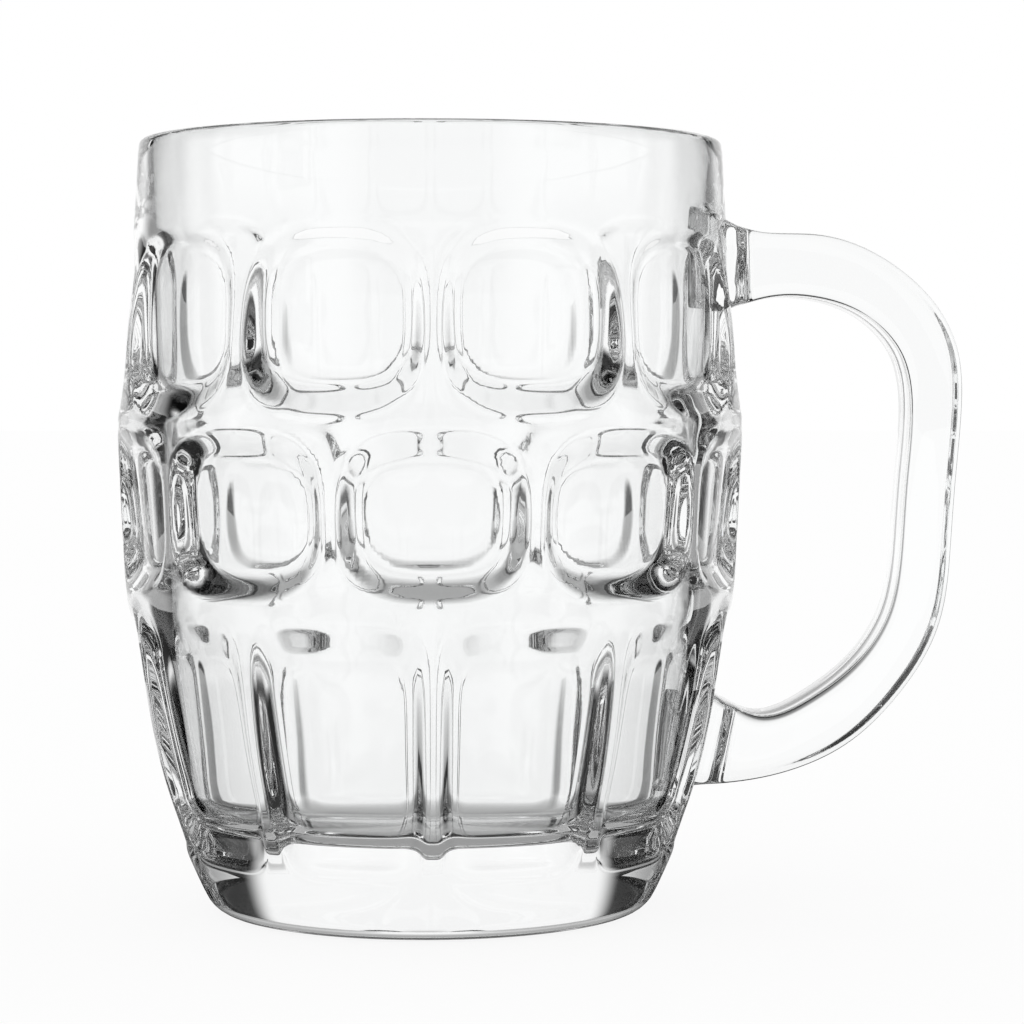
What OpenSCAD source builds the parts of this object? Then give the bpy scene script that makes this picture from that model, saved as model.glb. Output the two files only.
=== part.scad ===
/* [Bowl outside] */
// Height from the foot to the top of the rim
height = 120.5; // [110:0.5:135]
// Outer width at the rim
rim_w = 91.5; // [86:0.5:97]
// Outer width at the neck
neck_w = 93.4; // [88:0.1:99]
// Outer width at the shoulder
shoulder_w = 97.2; // [92:0.1:102]
// Outer width at the belly, the widest place
belly_w = 98; // [93:0.5:103]
// Outer width at the waist, where the bowl starts to draw in
waist_w = 96.5; // [92:0.1:101]
// Outer width at the hip
hip_w = 92.8; // [88:0.1:97]
// Outer width at the thigh, low on the flutes
thigh_w = 86.7; // [82:0.1:91]
// Outer width at the top of the plain band round the base
band_w = 76.5; // [72:0.1:81]
// Height of the plain band round the base
band_z = 9.5; // [7:0.25:11]
// Width that the band would have at the table, without its rounded heel
foot_w = 67.8; // [63:0.1:72]
// Radius of the rounded heel
heel_r = 5; // [3:0.25:6]

/* [Bowl inside] */
// Thickness of the glass at the rim
rim_t = 2.05; // [1.5:0.05:3]
// Thickness of the solid base
base_t = 13.5; // [11:0.5:17]
// Thickness of the wall at the neck
neck_t = 3.7; // [3:0.05:5]
// Thickness of the wall at the shoulder
shoulder_t = 5.7; // [5:0.05:7]
// Thickness of the wall at the belly
belly_t = 7; // [6:0.05:8]
// Thickness of the wall at the waist
waist_t = 7.2; // [6:0.05:8]
// Thickness of the wall at the hip
hip_t = 6.65; // [6:0.05:8]
// Thickness of the wall at the thigh
thigh_t = 5.9; // [5:0.05:7]
// Thickness that the wall would have at the floor, without the rounded corner inside
floor_t = 4.1; // [3.5:0.05:6]
// Radius of the corner between the inner wall and the floor
floor_r = 8; // [4:0.5:11]
// Width of the hollow under the base
hollow_w = 51; // [44:0.5:56]
// Depth of the hollow under the base
hollow_h = 1.2; // [0.5:0.1:2]

/* [Dimples] */
// Number of dimples in each row
columns = 10; // [8:1:12]
// Width of the rib between two dimples
rib_w = 1.3; // [1:0.1:2.5]
// Width of the sloping side wall of a dimple
side_w = 3.3; // [2.5:0.1:4]
// How far the middle of a dimple sinks below the line of its ends
bulge = 0.5; // [0.1:0.1:0.8]
// Upper row: top edge, as a share of the height
upper_top_share = 0.88; // [0.86:0.0005:0.89]
// Upper row: bottom edge, as a share of the height
upper_low_share = 0.637; // [0.635:0.0005:0.655]
// Upper row: depth at the top
upper_top_depth = 0.7; // [0.5:0.1:1]
// Upper row: depth at the bottom
upper_low_depth = 3.1; // [2:0.1:3.3]
// Upper row: length of the slope at the top
upper_top_slope = 3.5; // [2:0.5:5]
// Upper row: length of the scooped ledge at the bottom
upper_low_slope = 6; // [4:0.5:8]
// Middle row: top edge, as a share of the height
middle_top_share = 0.633; // [0.62:0.0005:0.635]
// Middle row: bottom edge, as a share of the height
middle_low_share = 0.415; // [0.4145:0.0005:0.43]
// Middle row: depth at the top
middle_top_depth = 1.5; // [1:0.1:2.4]
// Middle row: depth at the bottom
middle_low_depth = 3; // [2:0.1:3.3]
// Middle row: length of the slope at the top
middle_top_slope = 5; // [3:0.5:7]
// Middle row: length of the scooped ledge at the bottom
middle_low_slope = 5; // [3:0.5:7]
// Flutes: top edge, as a share of the height
flute_top_share = 0.41; // [0.38:0.0005:0.413]
// Flutes: how far their bottom edge cuts down into the band
flute_drop = 0.7; // [0:0.1:1.5]
// Flutes: depth at the top
flute_top_depth = 1.4; // [1:0.1:2.2]
// Flutes: depth at the bottom
flute_low_depth = 2.8; // [1.5:0.1:3]
// Flutes: length of the slope at the top
flute_top_slope = 9; // [4:0.5:11]
// Flutes: length of the slope at the bottom
flute_low_slope = 8; // [4:0.5:10]

/* [Handle] */
// Width of the upper arm, seen from the side
arm_w = 10.1; // [8.5:0.1:12]
// Width of the grip, seen from the side
grip_w = 8.5; // [7.5:0.1:11]
// Width of the lower arm, seen from the side
tail_w = 8.8; // [7.5:0.1:11]
// Thickness of the handle, across the palm
grip_t = 14; // [11:0.5:18]
// Width of the upper root behind the face of the bowl
top_root_w = 18; // [15:0.5:20]
// Width of the lower root behind the face of the bowl
low_root_w = 17; // [14:0.5:19]
// Thickness of both roots behind the face of the bowl
root_t = 16; // [13:0.5:20]
// How far the flare of the upper root reaches out from the bowl
flare = 4; // [3:0.5:6]
// How far each root is drawn in behind the outer face of the bowl
bite = 3; // [2:0.5:4]
// Drop of the middle of the upper arm below the rim
arm_drop = 19.6; // [17:0.1:22]
// Reach of the upper arm to where it has its plain width, from the neck
arm_reach = 10.6; // [8:0.1:12]
// Reach to where the upper arm starts to turn down
turn_reach = 19.3; // [17:0.1:22]
// Drop of the middle of the arm at that turn
turn_drop = 1.6; // [0.5:0.1:2.5]
// Reach of the middle of the upper corner, from the neck
corner_reach = 25.8; // [24:0.1:28]
// Drop of the middle of the upper corner below the arm
corner_drop = 5.2; // [4:0.1:6.5]
// Reach of the bend below the upper corner, from the belly
bend_reach = 28.7; // [27:0.1:30]
// Reach of the grip at its widest, from the belly
grip_reach = 30.2; // [28:0.1:33]
// Reach of the grip half way down, from the belly
palm_reach = 28.7; // [26:0.1:31]
// Reach of the grip above the lower corner, from the belly
finger_reach = 27.8; // [25:0.1:30]
// Reach of the middle of the lower corner, from the thigh
elbow_reach = 26.7; // [24:0.1:29]
// Height of the lower corner
elbow_z = 35.7; // [33:0.1:38]
// Reach of the middle of the lower arm, from the thigh
tail_reach = 18.3; // [16:0.1:21]
// Height of the lower arm
tail_z = 29.7; // [27:0.1:32]
// Reach of the lower root, from the thigh
root_reach = 7.9; // [6:0.1:10]
// Height of the lower root
root_z = 25.6; // [24:0.1:28]
// Rise of the lower root's middle where it meets the bowl
root_rise = 0.8; // [0:0.1:1.5]

/* [Hidden] */

// Sides of every round surface, and steps along the curves
$fn = 120;
wall_steps = 26;
inner_steps = 18;
arc_steps = 6;
dimple_sides = 32;
grip_steps = 6;
grip_sides = 24;

// Share of a dimple's slope that its cutter goes on for above the surface
rise_share = 0.4;
// Share of the slope where the scoop is at its half depth
scoop_share = 0.5;
// Shares of the floor's size where it gets a ring of points
floor_shares = [1, 0.55];
// Share by which the middle of a cutter's outer cap stands beyond the widest place
cap_share = 1.08;
// Roundness of the outlines: 2 is an ellipse, higher is squarer
dimple_square = 3;
flute_square = 6;
grip_square = 7;

// Shares of the height above the band at which the wall has its widths and thicknesses
thigh_share = 0.13;
hip_share = 0.275;
waist_share = 0.428;
belly_share = 0.59;
shoulder_share = 0.725;
neck_share = 0.86;
// Shares of the height between the lower corner and the upper arm at which the grip has its points
grip_shares = [0.813, 0.64, 0.419, 0.215];

// Height at a share of the way from the band to the rim
function wall_z(share) = band_z + share * (height - band_z);

// Height, radius and thickness of the wall from the table to the rim
WALL = [
    [0, foot_w / 2],
    [band_z, band_w / 2],
    [wall_z(thigh_share), thigh_w / 2, thigh_t],
    [wall_z(hip_share), hip_w / 2, hip_t],
    [wall_z(waist_share), waist_w / 2, waist_t],
    [wall_z(belly_share), belly_w / 2, belly_t],
    [wall_z(shoulder_share), shoulder_w / 2, shoulder_t],
    [wall_z(neck_share), neck_w / 2, neck_t],
    [height, rim_w / 2, rim_t]
];
// Height and radius of the inner wall from the floor to the rim
INNER = concat(
    [[base_t, radius_at(WALL, base_t) - floor_t]],
    [for (i = [2:len(WALL) - 1]) [WALL[i][0], WALL[i][1] - WALL[i][2]]]);
// Greatest radius of the bowl, and the heights of the rows' edges
widest = max([for (station = WALL) station[1]]);
upper_top = upper_top_share * height;
upper_low = upper_low_share * height;
middle_top = middle_top_share * height;
middle_low = middle_low_share * height;
flute_top = flute_top_share * height;
flute_low = band_z - flute_drop;
// Rows of dimples: top, bottom, depths, slopes, turn in columns and roundness
UPPER = [upper_top, upper_low, upper_top_depth, upper_low_depth,
    upper_top_slope, upper_low_slope, 0, dimple_square];
MIDDLE = [middle_top, middle_low, middle_top_depth, middle_low_depth,
    middle_top_slope, middle_low_slope, 1 / 2, dimple_square];
FLUTES = [flute_top, flute_low, flute_top_depth, flute_low_depth,
    flute_top_slope, flute_low_slope, 0, flute_square];
// Height of the upper arm, and radii that the handle's reach is measured from
arm_z = height - arm_drop;
neck_r = neck_w / 2;
belly_r = belly_w / 2;
thigh_r = thigh_w / 2;
grip_z = [for (share = grip_shares) elbow_z + share * (arm_z - elbow_z)];
// Middle line of the handle from the upper root to the lower: place, height, width and thickness
GRIP = [
    [neck_r - bite, arm_z, top_root_w, root_t],
    [neck_r + flare, arm_z, arm_w, grip_t],
    [neck_r + arm_reach, arm_z, arm_w, grip_t],
    [neck_r + turn_reach, arm_z - turn_drop, arm_w, grip_t],
    [neck_r + corner_reach, arm_z - corner_drop, arm_w, grip_t],
    [belly_r + bend_reach, grip_z[0], (arm_w + grip_w) / 2, grip_t],
    [belly_r + grip_reach, grip_z[1], grip_w, grip_t],
    [belly_r + palm_reach, grip_z[2], grip_w, grip_t],
    [belly_r + finger_reach, grip_z[3], grip_w, grip_t],
    [thigh_r + elbow_reach, elbow_z, (grip_w + tail_w) / 2, grip_t],
    [thigh_r + tail_reach, tail_z, tail_w, grip_t],
    [thigh_r + root_reach, root_z, tail_w, grip_t],
    [thigh_r - bite, root_z + root_rise, low_root_w, root_t]
];

// Index of the last station that is not above z
function below(p, z) = max([for (i = [0:len(p) - 2]) if (i == 0 || p[i][0] <= z) i]);
// Slope of a curve through stations, at one of them
function slope(p, i) =
    let (a = max(i - 1, 0), b = min(i + 1, len(p) - 1))
    (p[b][1] - p[a][1]) / (p[b][0] - p[a][0]);
// Radius of a smooth curve through stations of height and radius
function radius_at(p, z) =
    let (i = below(p, z), h = p[i + 1][0] - p[i][0], t = (z - p[i][0]) / h)
    p[i][1] * (1 - t) * (1 - t) * (1 + 2 * t)
    + slope(p, i) * h * t * (1 - t) * (1 - t)
    + p[i + 1][1] * t * t * (3 - 2 * t)
    - slope(p, i + 1) * h * t * t * (1 - t);
// Smooth curve through stations of any kind, t from 0 to 1 between two of them
function pass(a, b, c, d, t) =
    (2 * b + (c - a) * t + (2 * a - 5 * b + 4 * c - d) * t * t
    + (3 * b - a - 3 * c + d) * t * t * t) / 2;
// Point of a rounded square of half width 1, at an angle
function round_square(angle, square) =
    [cos(angle), sin(angle)]
    / pow(pow(abs(cos(angle)), square) + pow(abs(sin(angle)), square), 1 / square);
// Angle round the axis that a width takes at the belly
function turn_of(w) = w / (PI * belly_w) * 360;

// Half of the turn between two dimples, less the rib
half_turn = 180 / columns - turn_of(rib_w / 2);
// Lean of the band from upright, and the flat ring that the mug stands on
band_lean = atan(slope(WALL, 0));
ring_r = foot_w / 2 - heel_r * tan(45 - band_lean / 2);
heel_top = heel_r * (1 - sin(band_lean));
// Lean of the inner wall at the floor, and where its rounded corner starts and ends
floor_lean = atan(slope(INNER, 0));
floor_flat = INNER[0][1] - floor_r * tan(45 - floor_lean / 2);
floor_top = base_t + floor_r * (1 - sin(floor_lean));
// Middle of the rounded lip
lip_r = rim_t / 2;
lip_x = rim_w / 2 - lip_r;
lip_z = height - lip_r;

// Outlines of the bowl's section, from the axis outwards
hollow_line = [for (i = [0:arc_steps])
    let (t = i / arc_steps)
    [hollow_w / 2 * t, hollow_h * (1 - t * t)]];
heel_line = [for (i = [0:arc_steps])
    let (a = -90 + (90 - band_lean) * i / arc_steps)
    [ring_r + heel_r * cos(a), heel_r + heel_r * sin(a)]];
wall_line = [for (i = [1:wall_steps])
    let (z = heel_top + (lip_z - heel_top) * i / wall_steps)
    [radius_at(WALL, z), z]];
lip_line = [for (i = [1:arc_steps - 1])
    let (a = 180 * i / arc_steps)
    [lip_x + lip_r * cos(a), lip_z + lip_r * sin(a)]];
inner_line = [for (i = [inner_steps:-1:1])
    let (z = floor_top + (lip_z - floor_top) * i / inner_steps)
    [radius_at(INNER, z), z]];
corner_line = [for (i = [arc_steps:-1:0])
    let (a = -90 + (90 - floor_lean) * i / arc_steps)
    [floor_flat + floor_r * cos(a), base_t + floor_r + floor_r * sin(a)]];

// Depth of a row of dimples at a height
function depth_at(row, z) =
    let (t = (z - row[1]) / (row[0] - row[1]))
    row[3] + (row[2] - row[3]) * t + 4 * bulge * t * (1 - t);
// Point of a dimple at an angle of its outline: s is the share of the slope, f of the floor
function dimple_point(row, angle, s, f) =
    let (
        p = round_square(angle, row[7]),
        half = (row[0] - row[1]) / 2,
        run = p[1] > 0 ? half - s * row[4] : half - s * row[5],
        z = row[1] + half + f * p[1] * run,
        turn = f * p[0] * (half_turn - s * turn_of(side_w)),
        r = radius_at(WALL, z) - s * depth_at(row, z)
    )
    [r * cos(turn), r * sin(turn), z];

// Cutter for one dimple: an outline above the surface, the scoop, and the curved floor
module dimple(row) {
    n = dimple_sides;
    mid = (row[0] + row[1]) / 2;
    rings = concat(
        [for (s = [-rise_share, scoop_share]) [s, 1]],
        [for (f = floor_shares) [1, f]]);
    last = len(rings) - 1;
    points = concat(
        [for (ring = rings, i = [0:n - 1]) dimple_point(row, 360 * i / n, ring[0], ring[1])],
        [[cap_share * widest, 0, mid]],
        [dimple_point(row, 0, 1, 0)]);
    cap = n * (last + 1);
    faces = concat(
        [for (k = [0:last - 1], i = [0:n - 1]) let (j = (i + 1) % n)
            [k * n + i, k * n + j, (k + 1) * n + i]],
        [for (k = [0:last - 1], i = [0:n - 1]) let (j = (i + 1) % n)
            [k * n + j, (k + 1) * n + j, (k + 1) * n + i]],
        [for (i = [0:n - 1]) [(i + 1) % n, i, cap]],
        [for (i = [0:n - 1]) [last * n + i, last * n + (i + 1) % n, cap + 1]]);
    polyhedron(points, faces);
}

// The dimples of the rows and columns that are named
module dimples(rows, places) {
    for (row = rows, place = places)
        rotate([0, 0, (place + row[6]) * 360 / columns])
            dimple(row);
}

// The bowl: a thick-based glass, dimpled all round
module bowl() {
    color("lightcyan")
    difference() {
        rotate_extrude()
            polygon(concat(hollow_line, heel_line, wall_line, lip_line, inner_line,
                corner_line, [[0, base_t]]));
        dimples([UPPER, MIDDLE, FLUTES], [0:columns - 1]);
    }
}

// Outer form of the bowl without its cavity, dimpled only where the handle's roots sit
module bowl_face() {
    difference() {
        rotate_extrude()
            polygon(concat([[0, 0]], heel_line, wall_line, [[0, lip_z]]));
        dimples([UPPER, FLUTES], [0]);
    }
}

// One ring of the handle's section
function grip_ring(station, along) =
    let (side = [along[1], -along[0]] / norm([along[0], along[1]]))
    [for (i = [0:grip_sides - 1])
        let (p = round_square(360 * i / grip_sides, grip_square))
        [station[0] + side[0] * p[0] * station[2] / 2,
            p[1] * station[3] / 2,
            station[1] + side[1] * p[0] * station[2] / 2]];

// The handle: a rounded band swept along its middle line, ending on the bowl's face
module handle() {
    last = len(GRIP) - 1;
    line = [for (i = [0:last - 1], k = [0:grip_steps - 1])
        pass(GRIP[max(i - 1, 0)], GRIP[i], GRIP[i + 1], GRIP[min(i + 2, last)], k / grip_steps)];
    path = concat(line, [GRIP[last]]);
    end = len(path) - 1;
    rings = [for (i = [0:end])
        grip_ring(path[i], path[min(i + 1, end)] - path[max(i - 1, 0)])];
    n = grip_sides;
    faces = concat(
        [for (k = [0:end - 1], i = [0:n - 1]) let (j = (i + 1) % n)
            [k * n + i, (k + 1) * n + i, k * n + j]],
        [for (k = [0:end - 1], i = [0:n - 1]) let (j = (i + 1) % n)
            [k * n + j, (k + 1) * n + i, (k + 1) * n + j]],
        [[for (i = [0:n - 1]) i]],
        [[for (i = [n - 1:-1:0]) end * n + i]]);
    color("paleturquoise")
    difference() {
        polyhedron([for (ring = rings, p = ring) p], faces);
        bowl_face();
    }
}

bowl();
handle();
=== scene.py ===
import math

import bmesh
import bpy
import numpy as np
from mathutils import Matrix, Vector


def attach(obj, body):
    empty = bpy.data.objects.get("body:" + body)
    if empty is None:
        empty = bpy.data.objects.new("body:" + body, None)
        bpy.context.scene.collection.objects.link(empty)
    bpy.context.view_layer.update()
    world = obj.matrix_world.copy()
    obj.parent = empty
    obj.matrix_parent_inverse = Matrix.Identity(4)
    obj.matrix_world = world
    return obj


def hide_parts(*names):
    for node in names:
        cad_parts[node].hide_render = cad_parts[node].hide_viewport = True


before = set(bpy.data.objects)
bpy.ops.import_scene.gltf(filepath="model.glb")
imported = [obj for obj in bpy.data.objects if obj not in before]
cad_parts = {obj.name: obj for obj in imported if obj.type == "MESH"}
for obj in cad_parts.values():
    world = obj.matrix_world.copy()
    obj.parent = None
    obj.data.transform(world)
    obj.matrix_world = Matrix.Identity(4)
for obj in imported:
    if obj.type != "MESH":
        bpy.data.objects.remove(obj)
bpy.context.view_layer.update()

# Sizes are in millimetres, as in the part's source, and become metres when a piece is finished.
MM = 0.001

# Bowl: outer widths and wall thicknesses at shares of the height above the base band
HEIGHT = 120.5
FOOT_W = 67.8
BAND_W = 76.5
BAND_Z = 9.5
HEEL_R = 5.0
THIGH_W = 86.7
BELLY_W = 98.0
NECK_W = 93.4
RIM_W = 91.5
RIM_T = 2.05
BASE_T = 13.5
FLOOR_T = 4.1
FLOOR_R = 8.0
HOLLOW_W = 51.0
HOLLOW_H = 1.2
WALL_SHARES = [
    (0.13, THIGH_W, 5.9),
    (0.275, 92.8, 6.65),
    (0.428, 96.5, 7.2),
    (0.59, BELLY_W, 7.0),
    (0.725, 97.2, 5.7),
    (0.86, NECK_W, 3.7),
]
# The solid's facets fall a little short of the curve at its widest, and so does this wall.
SHORT = {BELLY_W: 0.03}

# Dimples: the rib between two of them, the slope at their sides, how much the floor swells, and
# the share of a slope over which it starts or ends softly
COLUMNS = 10
RIB_W = 1.3
SIDE_W = 3.3
BULGE = 0.5
EASE = 0.32
# Each row: where it ends, how deep it is there, how long its slopes are there, by how many columns
# it is turned, and how square its outline is
UPPER = dict(top=0.88 * HEIGHT, low=0.637 * HEIGHT, top_depth=0.7, low_depth=3.1,
             top_slope=3.5, low_slope=6.0, turned=0.0, square=3.0)
MIDDLE = dict(top=0.633 * HEIGHT, low=0.415 * HEIGHT, top_depth=1.5, low_depth=3.0,
              top_slope=5.0, low_slope=5.0, turned=0.5, square=3.0)
FLUTES = dict(top=0.41 * HEIGHT, low=BAND_Z - 0.7, top_depth=1.2, low_depth=2.8,
              top_slope=9.0, low_slope=8.0, turned=0.0, square=6.0)

# Handle: place, height, width and thickness along its middle line, from the upper root down
NECK_R = NECK_W / 2
BELLY_R = BELLY_W / 2
THIGH_R = THIGH_W / 2
BITE = 3.0
GRIP_T = 14.0
ROOT_T = 16.0
ARM_Z = HEIGHT - 19.6
ROOT_Z = 25.6
GRIP = [
    (NECK_R - BITE, ARM_Z, 17.5, ROOT_T),
    (NECK_R + 3.0, ARM_Z, 11.6, GRIP_T),
    (NECK_R + 13.8, ARM_Z - 0.1, 10.0, GRIP_T),
    (NECK_R + 23.9, ARM_Z - 4.1, 9.3, GRIP_T),
    (NECK_R + 31.0, ARM_Z - 12.4, 9.0, GRIP_T),
    (BELLY_R + 30.1, 77.8, 8.2, GRIP_T),
    (BELLY_R + 29.2, 66.9, 8.1, GRIP_T),
    (BELLY_R + 28.4, 56.1, 8.1, GRIP_T),
    (BELLY_R + 26.5, 45.4, 8.3, GRIP_T),
    (THIGH_R + 26.5, 36.2, 8.5, GRIP_T),
    (THIGH_R + 18.2, 29.2, 9.3, GRIP_T),
    (THIGH_R + 8.1, ROOT_Z, 9.8, GRIP_T),
    (THIGH_R - BITE, ROOT_Z + 1.8, 17.0, ROOT_T),
]
LAST = len(GRIP) - 1
# Its section: how square the faces and the edges are, and the draft on the edges, which starts
# at a distance from the middle
FACE_SQUARE = 7.0
EDGE_SQUARE = 30.0
DRAFT = 0.2
DRAFT_FROM = 5.7
# The flare across each root: how much it adds, and how far out from the wall it ends and starts
FLARE = 3.6
FLARE_END = 0.0
FLARE_START = 2.7
# Its ends: how far they sit under the bowl's face, and where along the middle line the whole of
# the handle is clear of the bowl
SEAT = 0.02
CLEAR_TOP = 1.1
CLEAR_LOW = LAST - 0.8

# Fineness of the meshes
COLUMN_STEPS = 44
TURN_CROWD = 0.45
ARC_ROWS = 7
INNER_ROWS = 34
BAND_STEP = 0.8
HEM_STEP = 0.45
PLAIN_STEP = 1.1
LEDGE_STEP = 0.6
NECK_STEP = 1.2
HANDLE_SIDES = 64
HANDLE_STEPS = 10
JOIN_RINGS = 16
CAP_RINGS = (0.75, 0.5, 0.25)
CREASE = math.radians(38)

# Distances at which points count as one, or as lying on the wall, and the rounds of each search
MERGE = 1e-4
COLUMN_MERGE = 1e-3
ON_WALL = 1e-3
SINK_ROUNDS = 24
SEAT_ROUNDS = 22
FACE_ROUNDS = 8

# Glass: its tint, how much it bends light, and its faint waves, whose height is in metres
GLASS_TINT = (0.985, 0.99, 0.99, 1)
GLASS_IOR = 1.52
WAVE_SCALE = 90
WAVE_DETAIL = 1.5
WAVE_STRENGTH = 0.12
WAVE_H = 0.00012
BOWL_WAVES = 1.3
HANDLE_WAVES = 3.7

# Table, in metres, and the share of the object's shadow that it keeps
TABLE_R = 6
TABLE_SIDES = 96
TABLE_DROP = 0.00005
TABLE_WHITE = (0.9, 0.9, 0.9, 1)
SHADOW = 0.1

# The studio as the glass shows it. Each pair says where a change starts and where it ends.
# Bearings are in degrees off the way straight behind the mug, on either side of it.
FLAG_STARTS = (30, 38)
FLAG_ENDS = (64, 76)
SIDES_END = (118, 130)
FRONT_STARTS = (140, 160)
FRONT_DARK = 0.5
# These two pairs are the upward share of a direction.
TOP_STARTS = (0.42, 0.6)
SIDE_TOP_STARTS = (0.16, 0.26)
DARKEST = 0.98
# On the table, seen only in the glass: a painted strip of light behind the mug, painted shade at
# the sides, and painted light at the front and far out
PAINTED_LIGHT_STRIP_ENDS = (26, 40)
PAINTED_LIGHT_STRIP_REST = 0.36
PAINTED_SHADE_SIDE_STARTS = (50, 66)
PAINTED_LIGHT_FRONT_STARTS = (112, 135)
PAINTED_LIGHT_FRONT = 0.8
PAINTED_LIGHT_FAR_SIDE_STARTS = (62, 76)
# These two pairs are distances from the mug's axis in metres. Inside the first, the table's glow
# in the glass drops to a painted shadow round the mug.
PAINTED_SHADOW_ENDS = (0.04, 0.2)
PAINTED_SHADOW_LEVEL = 0.42
PAINTED_LIGHT_FAR_STARTS = (0.28, 0.5)

# Camera: its place, how far it is turned round the mug's axis, its lens and the frame's shift
CAMERA_PLACE = (16.88, -504.7, 81.4)
CAMERA_TURN = math.radians(-2.3)
SENSOR_W = 36
LENS = 112.5
SHIFT_X = -0.0254
SHIFT_Y = -0.119
CLIP_START = 0.01


# The bowl's form

def station_slope(stations, i):
    a, b = max(i - 1, 0), min(i + 1, len(stations) - 1)
    return (stations[b][1] - stations[a][1]) / (stations[b][0] - stations[a][0])


def curve_radius(stations, z):
    """Radius of the smooth curve through stations of height and radius, at heights z."""
    z = np.asarray(z, float)
    heights = np.array([s[0] for s in stations])
    radii = np.array([s[1] for s in stations])
    slopes = np.array([station_slope(stations, i) for i in range(len(stations))])
    i = np.clip(np.searchsorted(heights, z, side="right") - 1, 0, len(stations) - 2)
    h = heights[i + 1] - heights[i]
    t = (z - heights[i]) / h
    return (radii[i] * (1 - t) ** 2 * (1 + 2 * t) + slopes[i] * h * t * (1 - t) ** 2
            + radii[i + 1] * t * t * (3 - 2 * t) - slopes[i + 1] * h * t * t * (1 - t))


def share_height(share):
    return BAND_Z + share * (HEIGHT - BAND_Z)


WALL = ([(0.0, FOOT_W / 2), (BAND_Z, BAND_W / 2)]
        + [(share_height(s), (w - SHORT.get(w, 0)) / 2) for s, w, t in WALL_SHARES]
        + [(HEIGHT, RIM_W / 2)])
INNER = ([(BASE_T, float(curve_radius(WALL, BASE_T)) - FLOOR_T)]
         + [(share_height(s), w / 2 - t) for s, w, t in WALL_SHARES]
         + [(HEIGHT, RIM_W / 2 - RIM_T)])
# Half of a dimple's width and the width of its side slope, in degrees round the bowl
HALF_TURN = 180 / COLUMNS - RIB_W / 2 / (math.pi * BELLY_W) * 360
SIDE_TURN = SIDE_W / (math.pi * BELLY_W) * 360
COLUMN_TURN = 2 * math.pi / COLUMNS


def eased(s):
    """Slope that starts and ends softly: 0 at the rib, 1 on the dimple's floor."""
    s = np.clip(s, 0, 1)
    rise = s * s / (2 * EASE * (1 - EASE))
    line = (s - EASE / 2) / (1 - EASE)
    settle = 1 - (1 - s) ** 2 / (2 * EASE * (1 - EASE))
    return np.where(s < EASE, rise, np.where(s > 1 - EASE, settle, line))


def dimple_sink(row, angle, z):
    """How deep a row of dimples goes at angles (degrees) and heights."""
    pitch = 360 / COLUMNS
    across = np.abs((angle - row["turned"] * pitch + pitch / 2) % pitch - pitch / 2)
    half = (row["top"] - row["low"]) / 2
    up = z - row["low"] - half
    slope = np.where(up > 0, row["top_slope"], row["low_slope"])
    up = np.abs(up)
    inside = (across < HALF_TURN) & (up < half)

    def outline(s):
        """Under 1 inside the dimple's outline, drawn in by a share s of its slope."""
        return ((across / (HALF_TURN - s * SIDE_TURN)) ** row["square"]
                + (up / (half - s * slope)) ** row["square"])

    low = np.zeros_like(z)
    high = np.ones_like(z)
    for _ in range(SINK_ROUNDS):
        mid = (low + high) / 2
        deeper = outline(mid) < 1
        low = np.where(deeper, mid, low)
        high = np.where(deeper, high, mid)
    t = np.clip((z - row["low"]) / (row["top"] - row["low"]), 0, 1)
    depth = row["low_depth"] + (row["top_depth"] - row["low_depth"]) * t + 4 * BULGE * t * (1 - t)
    return np.where(inside, depth * eased(low), 0.0)


def face_radius(angle, z):
    """Radius of the dimpled outer face at angles (degrees) and heights."""
    angle, z = np.broadcast_arrays(np.asarray(angle, float), np.asarray(z, float))
    sink = sum(dimple_sink(row, angle, z) for row in (UPPER, MIDDLE, FLUTES))
    return curve_radius(WALL, z) - sink


def face_x(y, z):
    """Place along X of the bowl's outer face on the handle's side, at points y, z."""
    x = np.full_like(y, NECK_R)
    for _ in range(FACE_ROUNDS):
        r = face_radius(np.degrees(np.arctan2(y, x)), z)
        x = np.sqrt(r * r - y * y)
    return x


def arc(cx, cz, r, start, end, rows):
    """Points of an arc in rows, from one angle (degrees) to another."""
    return [(cx + r * math.cos(math.radians(start + (end - start) * i / rows)),
             cz + r * math.sin(math.radians(start + (end - start) * i / rows)))
            for i in range(rows + 1)]


def corner_reach(r, lean):
    """How far a rounded corner reaches along a flat floor, under a wall that leans (degrees)."""
    return r * math.tan(math.radians(45 - lean / 2))


def spread(marks):
    """Heights from mark to mark, each stretch in steps of its own size."""
    heights = [marks[0][0]]
    for (a, step), (b, _) in zip(marks, marks[1:]):
        n = max(1, round((b - a) / step))
        heights += [a + (b - a) * i / n for i in range(1, n + 1)]
    return heights


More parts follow.
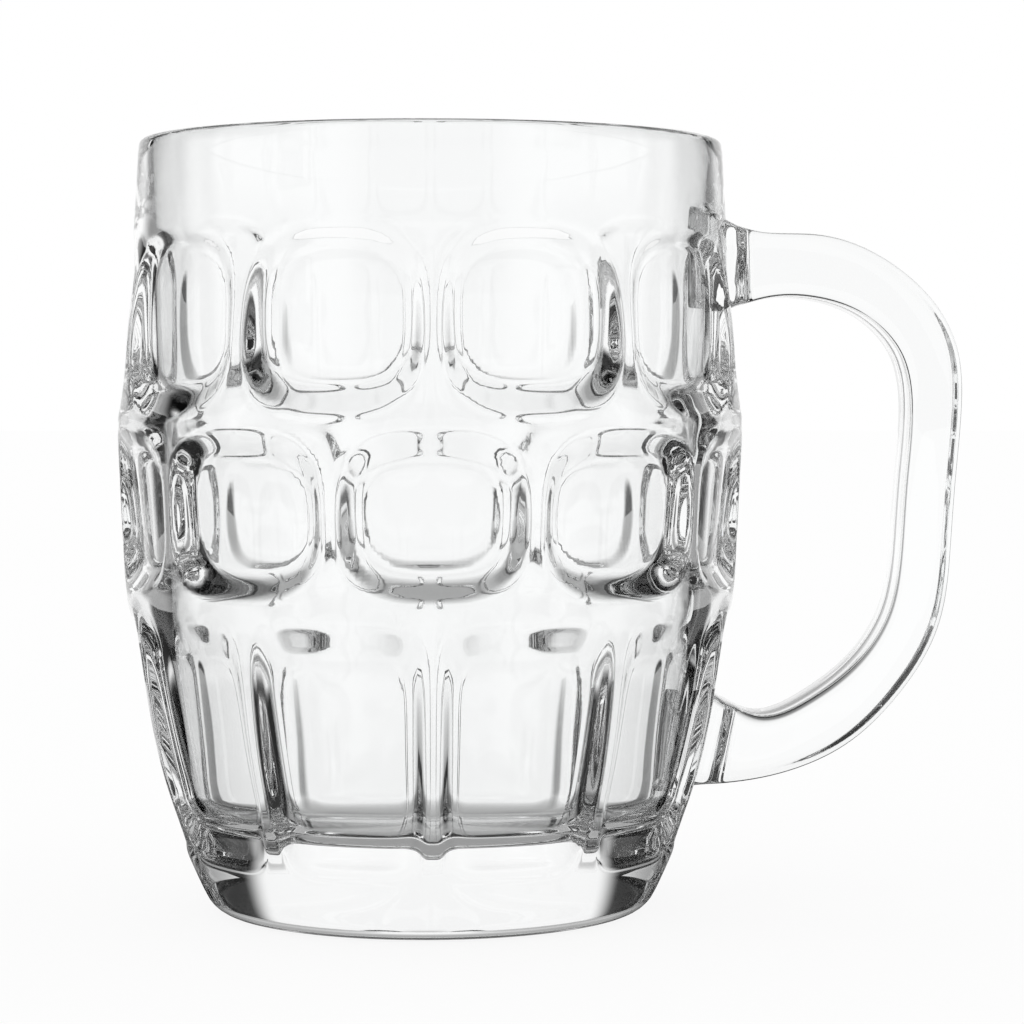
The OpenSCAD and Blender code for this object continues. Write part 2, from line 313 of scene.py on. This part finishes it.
def bowl_section():
    """The bowl's section from the axis under the base, out, up and back to the axis inside."""
    hollow = [(HOLLOW_W / 2 * t, HOLLOW_H * (1 - t * t)) for t in np.linspace(0, 1, ARC_ROWS)]

    lean = math.degrees(math.atan(station_slope(WALL, 0)))
    ring_r = FOOT_W / 2 - corner_reach(HEEL_R, lean)
    heel = arc(ring_r, HEEL_R, HEEL_R, -90, -lean, ARC_ROWS)

    lip_r = RIM_T / 2
    lip_x, lip_z = RIM_W / 2 - lip_r, HEIGHT - lip_r
    lip = arc(lip_x, lip_z, lip_r, 0, 180, ARC_ROWS + 3)

    # Each mark is a height and the step from there up, finest over the ends of the dimples.
    heights = spread([(heel[-1][1], BAND_STEP),
                      (FLUTES["low"] - 0.4, HEM_STEP), (FLUTES["low"] + 3, PLAIN_STEP),
                      (FLUTES["top"] - 5, LEDGE_STEP), (MIDDLE["low"] + 6, PLAIN_STEP),
                      (MIDDLE["top"] - 4.5, LEDGE_STEP), (UPPER["low"] + 7.5, PLAIN_STEP),
                      (UPPER["top"] - 4, LEDGE_STEP), (UPPER["top"] + 1, NECK_STEP),
                      (lip_z, None)])
    wall = [(float(curve_radius(WALL, z)), z) for z in heights[1:-1]]

    floor_lean = math.degrees(math.atan(station_slope(INNER, 0)))
    flat = INNER[0][1] - corner_reach(FLOOR_R, floor_lean)
    corner = arc(flat, BASE_T + FLOOR_R, FLOOR_R, -floor_lean, -90, ARC_ROWS + 1)
    inner = [(float(curve_radius(INNER, z)), z)
             for z in np.linspace(lip_z, corner[0][1], INNER_ROWS + 2)[1:-1]]
    return hollow, heel, wall, lip, inner, corner, [(0.0, BASE_T)]


def place_object(name, bm, materials):
    """Puts a bmesh into the scene as an object at the origin."""
    mesh = bpy.data.meshes.new(name)
    bm.to_mesh(mesh)
    bm.free()
    for material in materials:
        mesh.materials.append(material)
    obj = bpy.data.objects.new(name, mesh)
    bpy.context.scene.collection.objects.link(obj)
    return obj


def finish_piece(name, bm, materials):
    """Turns a bmesh in millimetres into a piece in metres, smooth but for its sharp edges."""
    for face in bm.faces:
        face.smooth = True
    for edge in bm.edges:
        if len(edge.link_faces) == 2:
            edge.smooth = edge.calc_face_angle(0) < CREASE
    bmesh.ops.scale(bm, vec=(MM, MM, MM), verts=bm.verts[:])
    return place_object(name, bm, materials)


def encloses(outline, y, z):
    """Whether the point y, z lies inside an outline."""
    odd = False
    for (ya, za), (yb, zb) in zip(outline, outline[1:] + outline[:1]):
        if (za > z) != (zb > z) and y < ya + (z - za) * (yb - ya) / (zb - za):
            odd = not odd
    return odd


def cut_root(bm, outline):
    """Cuts the outer face along a root's outline (y, z) and marks what the outline encloses."""
    ys, zs = [p[0] for p in outline], [p[1] for p in outline]
    facing, patch_room, cut_room = 0.3, 1.0, 0.9

    def near(face, y_low, y_high, z_low, z_high, room):
        at = face.calc_center_median()
        return (y_low - room < at.y < y_high + room) and (z_low - room < at.z < z_high + room)

    patch = {face for face in bm.faces if face.normal.x > facing
             and near(face, min(ys), max(ys), min(zs), max(zs), patch_room)}
    for (ya, za), (yb, zb) in zip(outline, outline[1:] + outline[:1]):
        touched = [face for face in patch if near(face, min(ya, yb), max(ya, yb),
                                                  min(za, zb), max(za, zb), cut_room)]
        edges = {edge for face in touched for edge in face.edges}
        verts = {vert for face in touched for vert in face.verts}
        cut = bmesh.ops.bisect_plane(bm, geom=list(verts) + list(edges) + touched, dist=MERGE,
                                     plane_co=(0, ya, za), plane_no=(0, zb - za, ya - yb))
        patch |= {g for g in cut["geom"] if isinstance(g, bmesh.types.BMFace)}
    for face in patch:
        at = face.calc_center_median()
        if encloses(outline, at.y, at.z):
            face.material_index = 1


def bowl_column():
    """One column of the bowl, on the handle's side, with its dimples sunk into the outer wall."""
    bm = bmesh.new()
    verts = [bm.verts.new((x, 0, z)) for part in bowl_section() for x, z in part]
    edges = [bm.edges.new(pair) for pair in zip(verts, verts[1:])]
    bmesh.ops.rotate(bm, verts=verts, cent=(0, 0, 0),
                     matrix=Matrix.Rotation(-COLUMN_TURN / 2, 3, "Z"))
    bmesh.ops.spin(bm, geom=verts + edges, cent=(0, 0, 0), axis=(0, 0, 1), dvec=(0, 0, 0),
                   angle=COLUMN_TURN, steps=COLUMN_STEPS)
    bmesh.ops.remove_doubles(bm, verts=bm.verts[:], dist=MERGE)
    bmesh.ops.recalc_face_normals(bm, faces=bm.faces[:])
    if max(bm.faces, key=lambda f: f.calc_center_median().x).normal.x < 0:
        bmesh.ops.reverse_faces(bm, faces=bm.faces[:])

    # The rows of points crowd towards the dimples' sides, and the outer ones sink into them.
    places = np.array([v.co for v in bm.verts])
    angle = np.arctan2(places[:, 1], places[:, 0])
    crowd = 2 * COLUMNS
    angle = angle - TURN_CROWD / crowd * np.sin(crowd * angle)
    radius = np.hypot(places[:, 0], places[:, 1])
    height = places[:, 2]
    low, high = FLUTES["low"] - 0.5, UPPER["top"] + 0.5
    outer = ((height > low) & (height < high)
             & (np.abs(radius - curve_radius(WALL, height)) < ON_WALL))
    radius[outer] = face_radius(np.degrees(angle[outer]), height[outer])
    for vert, a, r in zip(bm.verts, angle, radius):
        vert.co.x = r * math.cos(a)
        vert.co.y = r * math.sin(a)
    bm.normal_update()
    return bm


def make_bowl(glass, fused, outlines):
    """The bowl, with the roots' outlines cut into its column on the handle's side."""
    joined = bowl_column()
    bm = joined.copy()
    for outline in outlines:
        cut_root(joined, outline)
    bmesh.ops.rotate(bm, verts=bm.verts[:], cent=(0, 0, 0),
                     matrix=Matrix.Rotation(COLUMN_TURN, 3, "Z"))
    bmesh.ops.spin(bm, geom=bm.verts[:] + bm.edges[:] + bm.faces[:], cent=(0, 0, 0),
                   axis=(0, 0, 1), dvec=(0, 0, 0), angle=(COLUMNS - 2) * COLUMN_TURN,
                   steps=COLUMNS - 2, use_duplicate=True)
    handle_side = bpy.data.meshes.new("handle_side")
    joined.to_mesh(handle_side)
    joined.free()
    bm.from_mesh(handle_side)
    bpy.data.meshes.remove(handle_side)
    bmesh.ops.remove_doubles(bm, verts=bm.verts[:], dist=COLUMN_MERGE)
    return finish_piece("dimpled_bowl", bm, [glass, fused])


# The handle's form

def smooth_slopes(runs, points):
    """Slopes at the points of a curve that bends evenly from run to run."""
    n = len(points)
    rows = np.zeros((n, n))
    pulls = np.zeros_like(points)
    for k in (0, n - 1):
        near, run = (1, runs[0]) if k == 0 else (n - 2, -runs[-1])
        rows[k, k], rows[k, near] = 2, 1
        pulls[k] = 3 * (points[near] - points[k]) / run
    for k in range(1, n - 1):
        before, after = runs[k - 1], runs[k]
        rows[k, k - 1:k + 2] = after, 2 * (before + after), before
        pulls[k] = 3 * (after * (points[k] - points[k - 1]) / before
                        + before * (points[k + 1] - points[k]) / after)
    return np.linalg.solve(rows, pulls)


LINE = np.array(GRIP)
RUNS = np.hypot(*np.diff(LINE[:, :2], axis=0).T)
BENDS = smooth_slopes(RUNS, LINE)


def middle_line(place):
    """Place, height, width and thickness along the handle, at places counted in stations."""
    i = np.clip(place.astype(int), 0, LAST - 1)
    t = (place - i)[:, None]
    run = RUNS[i][:, None]
    return (LINE[i] * (1 - t) ** 2 * (1 + 2 * t) + BENDS[i] * run * t * (1 - t) ** 2
            + LINE[i + 1] * t * t * (3 - 2 * t) - BENDS[i + 1] * run * t * t * (1 - t))


def handle_points(place, turn):
    """Points on the handle's surface at places along it and turns (degrees) round it."""
    step = 0.02
    at = middle_line(place)
    along = middle_line(np.minimum(place + step, LAST)) - middle_line(np.maximum(place - step, 0))
    side = np.stack([along[:, 1], -along[:, 0]], 1) / np.hypot(along[:, 0], along[:, 1])[:, None]
    gap = at[:, 0] - curve_radius(WALL, at[:, 1])
    rise = np.clip((FLARE_START - gap) / (FLARE_START - FLARE_END), 0, 1)
    thickness = at[:, 3] + FLARE * rise * rise * (3 - 2 * rise)
    c, s = np.cos(np.radians(turn)), np.sin(np.radians(turn))
    across = np.sign(s) * np.abs(s) ** (2 / EDGE_SQUARE) * thickness / 2
    reach = at[:, 2] / 2 - DRAFT * np.maximum(np.abs(across) - DRAFT_FROM, 0)
    out = np.sign(c) * np.abs(c) ** (2 / FACE_SQUARE) * reach
    return np.stack([at[:, 0] + side[:, 0] * out, across, at[:, 1] + side[:, 1] * out], 1)


def meeting_places(turns, inside, outside):
    """Places along the handle where its surface leaves the bowl's face, just under the face."""
    inside = np.full_like(turns, inside)
    outside = np.full_like(turns, outside)
    for _ in range(SEAT_ROUNDS):
        mid = (inside + outside) / 2
        x, y, z = handle_points(mid, turns).T
        clear = np.hypot(x, y) - face_radius(np.degrees(np.arctan2(y, x)), z) > -SEAT
        outside = np.where(clear, mid, outside)
        inside = np.where(clear, inside, mid)
    return (inside + outside) / 2


def handle_rings():
    """Rings of points along the handle, whose first and last lie on the bowl's face."""
    turns = (np.arange(HANDLE_SIDES) + 0.5) * 360 / HANDLE_SIDES
    tops = meeting_places(turns, 0.0, CLEAR_TOP)
    lows = meeting_places(turns, float(LAST), CLEAR_LOW)
    shares = np.arange(JOIN_RINGS) / JOIN_RINGS
    middle = np.linspace(CLEAR_TOP, CLEAR_LOW, round((CLEAR_LOW - CLEAR_TOP) * HANDLE_STEPS) + 1)
    places = ([tops + (CLEAR_TOP - tops) * share for share in shares]
              + [np.full_like(turns, place) for place in middle]
              + [lows + (CLEAR_LOW - lows) * share for share in shares[::-1]])
    return [handle_points(place, turns) for place in places]


def make_handle(glass, fused):
    """The handle, and the outlines (y, z) of its two roots on the bowl's face."""
    rings = handle_rings()
    bm = bmesh.new()
    mark = bm.verts.layers.int.new("turn")
    made = bmesh.ops.create_circle(bm, cap_ends=False, segments=HANDLE_SIDES, radius=1)
    ring = sorted(made["verts"], key=lambda v: math.atan2(v.co.y, v.co.x) % (2 * math.pi))
    for i, vert in enumerate(ring):
        vert[mark] = i
        vert.co = rings[0][i]
    first = bm.edges[:]

    def draw_on(edges, points):
        """Draws the next ring out of the last one."""
        grown = bmesh.ops.extrude_edge_only(bm, edges=edges)["geom"]
        fresh = {g for g in grown if isinstance(g, bmesh.types.BMVert)}
        for vert in fresh:
            vert.co = points[vert[mark]]
        return [g for g in grown if isinstance(g, bmesh.types.BMEdge)
                and g.verts[0] in fresh and g.verts[1] in fresh]

    def close_on_bowl(edges, points):
        """Closes an end against the bowl's face, ring inside ring."""
        centre = points.mean(axis=0)
        before = set(bm.faces)
        for share in CAP_RINGS:
            nearer = centre + (points - centre) * share
            nearer[:, 0] = face_x(nearer[:, 1], nearer[:, 2]) - SEAT
            edges = draw_on(edges, nearer)
        bmesh.ops.contextual_create(bm, geom=edges)
        for face in set(bm.faces) - before:
            face.material_index = 1

    edges = first
    for points in rings[1:]:
        edges = draw_on(edges, points)
    close_on_bowl(edges, rings[-1])
    close_on_bowl(first, rings[0])
    bmesh.ops.recalc_face_normals(bm, faces=bm.faces[:])
    outlines = [[(p[1], p[2]) for p in ring] for ring in (rings[0], rings[-1])]
    return finish_piece("side_handle", bm, [glass, fused]), outlines


# Nodes

def add_node(tree, kind, **settings):
    node = tree.nodes.new(kind)
    for key, value in settings.items():
        setattr(node, key, value)
    return node


def maths(tree, operation, a, b=None, clamp=False):
    node = add_node(tree, "ShaderNodeMath", operation=operation, use_clamp=clamp)
    for i, value in enumerate((a, b)):
        if value is None:
            continue
        if isinstance(value, (int, float)):
            node.inputs[i].default_value = value
        else:
            tree.links.new(value, node.inputs[i])
    return node.outputs[0]


def between(tree, value, pair, first=0.0, last=1.0):
    """Soft step of a value from first to last, over a pair of limits."""
    node = add_node(tree, "ShaderNodeMapRange", interpolation_type="SMOOTHSTEP")
    node.inputs["From Min"].default_value = pair[0]
    node.inputs["From Max"].default_value = pair[1]
    node.inputs["To Min"].default_value = first
    node.inputs["To Max"].default_value = last
    tree.links.new(value, node.inputs["Value"])
    return node.outputs["Result"]


def round_step(tree, off, pair, first=0.0, last=1.0):
    """Soft step over a pair of bearings in degrees."""
    return between(tree, off, [math.radians(bearing) for bearing in pair], first, last)


def split_axes(tree, kind):
    """X, Y and Z of a texture coordinate, and the bearing off the way behind the mug."""
    where = add_node(tree, "ShaderNodeTexCoord")
    axes = add_node(tree, "ShaderNodeSeparateXYZ")
    tree.links.new(where.outputs[kind], axes.inputs[0])
    x, y, z = (axes.outputs[name] for name in "XYZ")
    return x, y, z, maths(tree, "ABSOLUTE", maths(tree, "ARCTAN2", x, y))


def glass_rays(tree, path):
    """1 for a ray that comes off or through glass."""
    return maths(tree, "MAXIMUM", path.outputs["Is Glossy Ray"],
                 path.outputs["Is Transmission Ray"])


def fresh_material(name):
    material = bpy.data.materials.new(name)
    material.use_nodes = True
    material.node_tree.nodes.clear()
    return material, material.node_tree


# Finishes

def pressed_glass(name, waves):
    """Clear fire-polished glass, faintly wavy as pressing leaves it."""
    material, tree = fresh_material(name)
    links = tree.links
    out = add_node(tree, "ShaderNodeOutputMaterial")
    glass = add_node(tree, "ShaderNodeBsdfPrincipled")
    glass.inputs["Base Color"].default_value = GLASS_TINT
    glass.inputs["Roughness"].default_value = 0.0
    glass.inputs["IOR"].default_value = GLASS_IOR
    glass.inputs["Transmission Weight"].default_value = 1.0
    links.new(glass.outputs[0], out.inputs["Surface"])
    where = add_node(tree, "ShaderNodeTexCoord")
    wave = add_node(tree, "ShaderNodeTexNoise", noise_dimensions="4D")
    wave.inputs["Scale"].default_value = WAVE_SCALE
    wave.inputs["W"].default_value = waves
    wave.inputs["Detail"].default_value = WAVE_DETAIL
    links.new(where.outputs["Object"], wave.inputs["Vector"])
    swell = add_node(tree, "ShaderNodeBump")
    swell.inputs["Strength"].default_value = WAVE_STRENGTH
    swell.inputs["Distance"].default_value = WAVE_H
    links.new(wave.outputs["Fac"], swell.inputs["Height"])
    links.new(swell.outputs[0], glass.inputs["Normal"])
    return material


def fused_glass():
    """Where the handle's glass has run into the bowl's: nothing to see, glass on both sides."""
    material, tree = fresh_material("fused_joint")
    out = add_node(tree, "ShaderNodeOutputMaterial")
    clear = add_node(tree, "ShaderNodeBsdfTransparent")
    tree.links.new(clear.outputs[0], out.inputs["Surface"])
    return material


def table_top():
    """White table to the camera, with part of the shadow kept; in the glass it shows painted light
    and shade by bearing and distance, and a painted shadow round the mug.
    """
    material, tree = fresh_material("white_table_painted_light")
    links = tree.links
    out = add_node(tree, "ShaderNodeOutputMaterial")
    paper = add_node(tree, "ShaderNodeBsdfDiffuse")
    paper.inputs["Color"].default_value = TABLE_WHITE
    glow = add_node(tree, "ShaderNodeEmission")
    path = add_node(tree, "ShaderNodeLightPath")
    camera_ray = path.outputs["Is Camera Ray"]
    x, y, _, off = split_axes(tree, "Object")
    away = maths(tree, "SQRT", maths(tree, "ADD", maths(tree, "MULTIPLY", x, x),
                                     maths(tree, "MULTIPLY", y, y)))

    # Painted light and shade seen in the glass: a lit strip behind the mug, painted shade at the
    # sides, and painted light at the front and far out from the sides round to the front
    painted_light_strip = round_step(tree, off, PAINTED_LIGHT_STRIP_ENDS, 1.0, PAINTED_LIGHT_STRIP_REST)
    sides = round_step(tree, off, PAINTED_SHADE_SIDE_STARTS, 1.0, 0.0)
    front = round_step(tree, off, PAINTED_LIGHT_FRONT_STARTS, 0.0, PAINTED_LIGHT_FRONT)
    lit = maths(tree, "ADD", maths(tree, "MULTIPLY", painted_light_strip, sides), front, clamp=True)
    far = maths(tree, "MULTIPLY", between(tree, away, PAINTED_LIGHT_FAR_STARTS),
                round_step(tree, off, PAINTED_LIGHT_FAR_SIDE_STARTS))
    lit = maths(tree, "ADD", lit, far, clamp=True)
    # Painted shadow: near the mug's axis the glow seen in the glass is dimmed
    lit = maths(tree, "MULTIPLY", lit, between(tree, away, PAINTED_SHADOW_ENDS, PAINTED_SHADOW_LEVEL, 1.0))
    lit = maths(tree, "MAXIMUM", lit, camera_ray)
    links.new(lit, glow.inputs["Strength"])

    seen = maths(tree, "MAXIMUM", camera_ray, glass_rays(tree, path))
    share = maths(tree, "SUBTRACT", seen, maths(tree, "MULTIPLY", camera_ray, SHADOW))
    mix = add_node(tree, "ShaderNodeMixShader")
    links.new(share, mix.inputs[0])
    links.new(paper.outputs[0], mix.inputs[1])
    links.new(glow.outputs[0], mix.inputs[2])
    links.new(mix.outputs[0], out.inputs["Surface"])
    return material


# Studio

def make_table():
    bm = bmesh.new()
    bmesh.ops.create_circle(bm, cap_ends=True, segments=TABLE_SIDES, radius=TABLE_R)
    bmesh.ops.translate(bm, vec=(0, 0, -TABLE_DROP), verts=bm.verts[:])
    place_object("table", bm, [table_top()])


def light_studio():
    """White all round for the camera; in the glass, white panels with dark flags between."""
    world = bpy.data.worlds.new("studio")
    bpy.context.scene.world = world
    world.use_nodes = True
    tree = world.node_tree
    tree.nodes.clear()
    out = add_node(tree, "ShaderNodeOutputWorld")
    sky = add_node(tree, "ShaderNodeBackground")
    sky.inputs["Color"].default_value = (1, 1, 1, 1)
    tree.links.new(sky.outputs[0], out.inputs["Surface"])
    _, _, up, off = split_axes(tree, "Generated")

    beside = round_step(tree, off, FLAG_STARTS)
    flags = maths(tree, "SUBTRACT", beside, round_step(tree, off, FLAG_ENDS))
    front = round_step(tree, off, FRONT_STARTS, 0.0, FRONT_DARK)
    top = between(tree, up, TOP_STARTS)
    sides = maths(tree, "SUBTRACT", beside, round_step(tree, off, SIDES_END))
    side_tops = maths(tree, "MULTIPLY", sides, between(tree, up, SIDE_TOP_STARTS))
    dark = maths(tree, "MAXIMUM", maths(tree, "MAXIMUM", flags, front),
                 maths(tree, "MAXIMUM", top, side_tops))
    path = add_node(tree, "ShaderNodeLightPath")
    dark = maths(tree, "MULTIPLY", dark, glass_rays(tree, path))
    bright = maths(tree, "SUBTRACT", 1.0, maths(tree, "MULTIPLY", dark, DARKEST))
    tree.links.new(bright, sky.inputs["Strength"])


def place_camera():
    """The photograph's view: level, a little right of the mug, with the frame shifted to it."""
    camera = bpy.data.cameras.new("camera")
    camera.sensor_width = SENSOR_W
    camera.lens = LENS
    camera.shift_x = SHIFT_X
    camera.shift_y = SHIFT_Y
    camera.clip_start = CLIP_START
    holder = bpy.data.objects.new("camera", camera)
    turn = Matrix.Rotation(CAMERA_TURN, 4, "Z")
    stand = Matrix.Translation(Vector(CAMERA_PLACE) * MM)
    holder.matrix_world = turn @ stand @ Matrix.Rotation(math.radians(90), 4, "X")
    bpy.context.scene.collection.objects.link(holder)
    bpy.context.scene.camera = holder


place_camera()
fused = fused_glass()
handle, outlines = make_handle(pressed_glass("handle_glass_clear", HANDLE_WAVES), fused)
bowl = make_bowl(pressed_glass("bowl_glass_clear", BOWL_WAVES), fused, outlines)
for piece, node, slot in ((bowl, "bowl", "bowl_glass"), (handle, "handle", "handle_glass")):
    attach(piece, "root")
    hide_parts(node)
make_table()
light_studio()

scene = bpy.context.scene
scene.view_settings.view_transform = "Standard"
# Light crosses many faces of the dimpled glass before it gets out.
scene.cycles.max_bounces = 32
scene.cycles.transmission_bounces = 32
scene.cycles.glossy_bounces = 16
scene.cycles.transparent_max_bounces = 32

bpy.context.view_layer.update()
